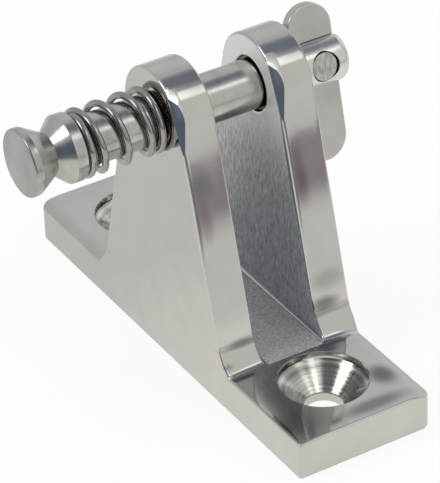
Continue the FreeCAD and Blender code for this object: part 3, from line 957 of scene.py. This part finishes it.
class DECKHINGE_OT_pin(Operator):
    """Turn the pin with its button, waist and collar, slot its end and bore it for the rivet"""

    bl_idname = "deck_hinge.pin"
    bl_label = "Pin"

    def execute(self, context):
        scene = context.scene
        sizes = scene.deck_hinge_pin
        toggle = scene.deck_hinge_toggle
        steps = scene.deck_hinge_stage.steps
        piece = lathe("turned_pin", pin_outline(sizes), ALONG_PIN, PIN_MIDDLE, steps)
        slot_start = PIVOT_X - toggle.short_reach - sizes.nose_clearance
        slot_end = PIN_HIGH.x + MM
        slot_half = toggle.thickness / 2 + sizes.slot_clearance
        bpy.ops.mesh.primitive_cube_add(
            size=1,
            location=((slot_start + slot_end) / 2, 0, PIN_HEIGHT),
            scale=(slot_end - slot_start, 2 * slot_half, 2 * sizes.diameter),
        )
        cut(piece, start_piece("slot_cutter"))
        hole = RIVET_RADIUS + sizes.rivet_clearance
        drill(piece, "rivet_cutter", hole, sizes.diameter, ACROSS_PIN, PIVOT, steps)
        smooth(piece)
        turn_with_pin(piece, sizes.turn)
        dress(piece, "pin", "pin", "turned_steel", turned_steel(scene.deck_hinge_finish.turned))
        return {"FINISHED"}


class DECKHINGE_OT_rivet(Operator):
    """Model the rivet across the pin's slotted end"""

    bl_idname = "deck_hinge.rivet"
    bl_label = "Rivet"

    def execute(self, context):
        scene = context.scene
        sizes = scene.deck_hinge_toggle
        half = sizes.rivet_length / 2
        radius, edge = RIVET_RADIUS, sizes.rivet_edge
        corners = [(-half, 0, 0), (-half, radius, edge), (half, radius, edge), (half, 0, 0)]
        steps = scene.deck_hinge_stage.small_steps
        piece = lathe("toggle_rivet", rounded_line(corners), ACROSS_PIN, PIVOT, steps)
        smooth(piece)
        turn_with_pin(piece, scene.deck_hinge_pin.turn)
        dress(piece, "pin", "cross_pin", "rivet_steel", rivet_steel(scene.deck_hinge_finish.rivet))
        return {"FINISHED"}


class DECKHINGE_OT_toggle(Operator):
    """Model the drop-nose toggle, a plate with round ends that turns on the rivet"""

    bl_idname = "deck_hinge.toggle"
    bl_label = "Toggle"

    def execute(self, context):
        scene = context.scene
        sizes = scene.deck_hinge_toggle
        radius = sizes.width / 2
        bpy.ops.mesh.primitive_circle_add(
            vertices=scene.deck_hinge_stage.steps,
            radius=radius,
            fill_type="NGON",
            location=(PIVOT_X - sizes.pivot_offset, -sizes.thickness / 2, PIN_HEIGHT),
            rotation=(pi / 2, 0, 0),
        )
        piece = start_piece("drop_nose_toggle")
        edit(piece)
        pick(piece, "VERT", lambda vertex: vertex.co.z > PIN_HEIGHT + NEAR)
        bpy.ops.transform.translate(value=(0, 0, sizes.short_reach - radius))
        pick(piece, "VERT", lambda vertex: vertex.co.z < PIN_HEIGHT - NEAR)
        bpy.ops.transform.translate(value=(0, 0, radius - sizes.long_reach))
        select_all()
        depth = (0, sizes.thickness, 0)
        bpy.ops.mesh.extrude_region_move(TRANSFORM_OT_translate={"value": depth})
        face_outwards()
        pick(piece, "EDGE", lambda edge: abs(edge.verts[0].co.y - edge.verts[1].co.y) < NEAR)
        bpy.ops.mesh.bevel(offset=sizes.edge, segments=3)
        leave()
        hole = RIVET_RADIUS + scene.deck_hinge_pin.rivet_clearance
        steps = scene.deck_hinge_stage.small_steps
        drill(piece, "rivet_cutter", hole, sizes.thickness, ACROSS_PIN, PIVOT, steps)
        smooth(piece)
        turn_with_pin(piece, scene.deck_hinge_pin.turn)
        dress(piece, "toggle", "toggle", "satin_plate", satin_plate(scene.deck_hinge_finish.plate))
        return {"FINISHED"}


# The spring


# How many straight pieces make up one turn of the wire.
POINTS_A_TURN = 48


def spring_advance(turn, sizes, start, end):
    """Place along the pin after so many turns; each change of pitch takes a quarter turn."""
    turns = sizes.open_turns + 2 * sizes.closed_turns
    opening = end - start - turns * sizes.closed_pitch

    def sharp(at):
        open_share = (at - sizes.closed_turns) / sizes.open_turns
        return at * sizes.closed_pitch + opening * min(1, max(0, open_share))

    reach = min(1 / 8, turn, turns - turn)
    return start + (sharp(turn - reach) + 2 * sharp(turn) + sharp(turn + reach)) / 4


class DECKHINGE_OT_spring(Operator):
    """Wind the compression spring between the pin's collar and the ear"""

    bl_idname = "deck_hinge.spring"
    bl_label = "Spring"

    def execute(self, context):
        scene = context.scene
        sizes = scene.deck_hinge_spring
        coil = scene.deck_hinge_pin.diameter / 2 + sizes.clearance + sizes.wire / 2
        inset = sizes.seat_gap + sizes.wire / 2
        start = -HALF_WIDTH - sizes.room + inset
        end = -HALF_WIDTH - inset
        turns = sizes.open_turns + 2 * sizes.closed_turns
        count = round(turns * POINTS_A_TURN)
        bpy.ops.curve.primitive_nurbs_path_add()
        piece = bpy.context.active_object
        piece.location = (0, 0, 0)
        piece.name = "pin_spring"
        curve = piece.data
        curve.splines.clear()
        wire = curve.splines.new("POLY")
        wire.points.add(count)
        for step, point in enumerate(wire.points):
            turn = turns * step / count
            angle = pi / 2 + 2 * pi * turn
            along = spring_advance(turn, sizes, start, end)
            point.co = (along, coil * cos(angle), PIN_HEIGHT + coil * sin(angle), 1)
        curve.bevel_depth = sizes.wire / 2
        curve.bevel_resolution = 6
        curve.use_fill_caps = True
        only(piece)
        bpy.ops.object.convert(target="MESH")
        piece = bpy.context.active_object
        edit(piece)
        face_outwards()
        leave()
        smooth(piece, CRISP_SPRING)
        dress(piece, "spring", "spring", "spring_wire", spring_wire(scene.deck_hinge_finish.wire))
        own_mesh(piece)
        return {"FINISHED"}


# Floor, lamps and camera

# The plain room that the polished faces mirror: the directions in degrees, turned from the front
# towards the right and raised from the floor, how far each tone reaches in full and with its soft
# edge, and the tone.
ROOM = (0.6, 0.605, 0.61)
ROOM_TONES = (
    (30, 18, 26, 42, (0.75, 0.745, 0.705)),
    (110, 20, 12, 30, (0.85, 0.86, 0.86)),
    (150, 33, 8, 20, (0.68, 0.69, 0.695)),
    (97, 64, 2, 21, (0.22, 0.24, 0.3)),
    (44, 50, 3, 11, (1.6, 1.59, 1.53)),
    (-5, 53, 12, 22, (1.05, 1.04, 1.0)),
    (5, 54, 3, 8, (2.3, 2.28, 2.2)),
    (-55, 50, 14, 26, (0.17, 0.18, 0.19)),
    (-60, 8, 14, 30, (0.13, 0.16, 0.21)),
    (-102, 40, 9, 17, (3.2, 3.19, 3.1)),
)

# The floor that they mirror: a direction in degrees, the distances in metres along it where each
# tone starts, is full, stops being full and ends, and the tone.
FLOOR_WIDTH = 1.4
FLOOR = (0.73, 0.74, 0.72)
FLOOR_TONES = (
    (0, -0.025, 0.01, 1, 2, (0.93, 0.92, 0.85)),
    (25, 0.06, 0.09, 1, 2, (0.76, 0.75, 0.72)),
    (25, 0.16, 0.205, 0.28, 0.285, (0.25, 0.21, 0.25)),
    (-60, 0.1, 0.2, 1, 2, (0.1, 0.1, 0.12)),
)

# How much of the floor's own light the camera and the polished faces see, instead of its paper.
SEEN_GLOW, MIRRORED_GLOW = 0.9, 0.85

# The lamps: turn and height in degrees, width and distance in metres, and brightness.
LAMPS = (
    ("left_window", -98, 38, 0.42, 1.0, 1.9),
    ("front_lamp", 44, 50, 0.36, 1.0, 1.6),
    ("overhead", -150, 76, 0.7, 1.1, 1.3),
)


def towards(turn, height):
    """The direction that lies so many degrees right of the front, and above the floor."""
    turn, height = radians(turn), radians(height)
    across = cos(height)
    return Vector((across * sin(turn), -across * cos(turn), sin(height)))


def hang_lamp(name, turn, height, size, distance, brightness):
    place = towards(turn, height) * distance
    bpy.ops.object.light_add(type="AREA", location=place)
    lamp = bpy.context.active_object
    lamp.name = name
    lamp.data.shape = "DISK"
    lamp.data.size = size
    lamp.data.energy = brightness * pi * size**2
    lamp.visible_glossy = False
    lamp.rotation_euler = place.to_track_quat("Z", "Y").to_euler()


class Surround(Nodes):
    """The node tree of the floor or the sky."""

    def __init__(self, tree):
        super().__init__(tree)
        self.path = self.node("ShaderNodeLightPath", {}).outputs

    def share(self, place, direction, none, full):
        """A soft step by how far a place lies along a direction."""
        far = self.math("DOT_PRODUCT", place, direction, kind="ShaderNodeVectorMath")
        return self.spread(far, 0, 1, none, full, "SMOOTHSTEP")

    def finish(self, share, under, over, output):
        """Show one shader over another by a share."""
        mix = self.node("ShaderNodeMixShader", {"Fac": share, 1: under, 2: over})
        self.fill(self.tree.nodes[output], {"Surface": mix.outputs["Shader"]})


def lay_floor():
    """A pale floor that looks white, keeps a faint shadow, and has a dark strip in front."""
    bpy.ops.mesh.primitive_plane_add(size=FLOOR_WIDTH, location=(0, 0, 0))
    floor = bpy.context.active_object
    floor.name = "floor"
    material = bpy.data.materials.new("white_floor")
    material.use_nodes = True
    floor.data.materials.append(material)
    nodes = Surround(material.node_tree)
    paper = material.node_tree.nodes["Principled BSDF"]
    tone = (0.9, 0.9, 0.9)
    nodes.fill(paper, {"Base Color": tone, "Roughness": 0.9, "Specular IOR Level": 0.1})
    place = nodes.node("ShaderNodeTexCoord", {}).outputs["Object"]
    mirrored = FLOOR
    for turn, start, full, last, end, colour in FLOOR_TONES:
        front = towards(turn, 0)
        edges = (nodes.share(place, front, *ends) for ends in ((start, full), (end, last)))
        mirrored = nodes.tone(nodes.math("MULTIPLY", *edges), mirrored, colour)
    seen = nodes.path["Is Camera Ray"]
    glossy = nodes.math("MAXIMUM", nodes.path["Is Glossy Ray"], nodes.path["Is Transmission Ray"])
    glow = nodes.node("ShaderNodeEmission", {"Color": nodes.tone(seen, mirrored, (1, 1, 1))})
    parts = (nodes.math("MULTIPLY", *pair) for pair in ((seen, SEEN_GLOW), (glossy, MIRRORED_GLOW)))
    share = nodes.math("ADD", *parts)
    nodes.finish(share, paper.outputs["BSDF"], glow.outputs["Emission"], "Material Output")


def hang_sky():
    """The plain room, white to the camera."""
    world = bpy.data.worlds.new("studio")
    bpy.context.scene.world = world
    world.use_nodes = True
    nodes = Surround(world.node_tree)
    direction = nodes.node("ShaderNodeTexCoord", {}).outputs["Generated"]
    tone = ROOM
    for turn, height, full, soft, colour in ROOM_TONES:
        edges = (cos(radians(reach)) for reach in (soft, full))
        tone = nodes.tone(nodes.share(direction, towards(turn, height), *edges), tone, colour)
    room = world.node_tree.nodes["Background"]
    nodes.fill(room, {"Color": tone})
    white = nodes.node("ShaderNodeBackground", {"Color": (1, 1, 1)})
    seen = nodes.path["Is Camera Ray"]
    nodes.finish(seen, room.outputs["Background"], white.outputs["Background"], "World Output")


class DECKHINGE_OT_stage(Operator):
    """Lay the floor, hang the lamps and set up the camera"""

    bl_idname = "deck_hinge.stage"
    bl_label = "Stage"

    def execute(self, context):
        scene = context.scene
        settings = scene.deck_hinge_stage
        lay_floor()
        hang_sky()
        for lamp in LAMPS:
            hang_lamp(*lamp)
        data = bpy.data.cameras.new("view")
        camera = bpy.data.objects.new("view", data)
        scene.collection.objects.link(camera)
        camera.location = settings.place
        camera.rotation_euler = settings.turn
        data.sensor_width = 36
        data.lens = settings.lens
        data.shift_x = settings.shift
        data.shift_y = settings.lift
        data.clip_start = 0.01
        data.clip_end = 20
        scene.camera = camera
        scene.view_settings.view_transform = "Standard"
        return {"FINISHED"}


class DECKHINGE_PT_panel(Panel):
    """The deck hinge's pieces, one button each"""

    bl_label = "Deck Hinge"
    bl_idname = "DECKHINGE_PT_panel"
    bl_space_type = "VIEW_3D"
    bl_region_type = "UI"
    bl_category = "Deck Hinge"

    def draw(self, context):
        column = self.layout.column()
        for operator in OPERATORS:
            column.operator(operator.bl_idname)


GROUPS = {
    "deck_hinge_bracket": DeckHingeBracket,
    "deck_hinge_pin": DeckHingePin,
    "deck_hinge_spring": DeckHingeSpring,
    "deck_hinge_toggle": DeckHingeToggle,
    "deck_hinge_finish": DeckHingeFinish,
    "deck_hinge_stage": DeckHingeStage,
}

OPERATORS = (
    DECKHINGE_OT_bracket,
    DECKHINGE_OT_pin,
    DECKHINGE_OT_rivet,
    DECKHINGE_OT_toggle,
    DECKHINGE_OT_spring,
    DECKHINGE_OT_stage,
)


def register():
    for name, group in GROUPS.items():
        bpy.utils.register_class(group)
        setattr(Scene, name, PointerProperty(type=group))
    for operator in OPERATORS:
        bpy.utils.register_class(operator)
    bpy.utils.register_class(DECKHINGE_PT_panel)


def unregister():
    bpy.utils.unregister_class(DECKHINGE_PT_panel)
    for operator in OPERATORS:
        bpy.utils.unregister_class(operator)
    for name, group in GROUPS.items():
        delattr(Scene, name)
        bpy.utils.unregister_class(group)


def main():
    register()
    bpy.ops.object.select_all(action="DESELECT")
    bpy.ops.deck_hinge.bracket()
    bpy.ops.deck_hinge.pin()
    bpy.ops.deck_hinge.rivet()
    bpy.ops.deck_hinge.toggle()
    bpy.ops.deck_hinge.spring()
    bpy.ops.deck_hinge.stage()
    bpy.context.view_layer.update()


if __name__ == "__main__":
    main()
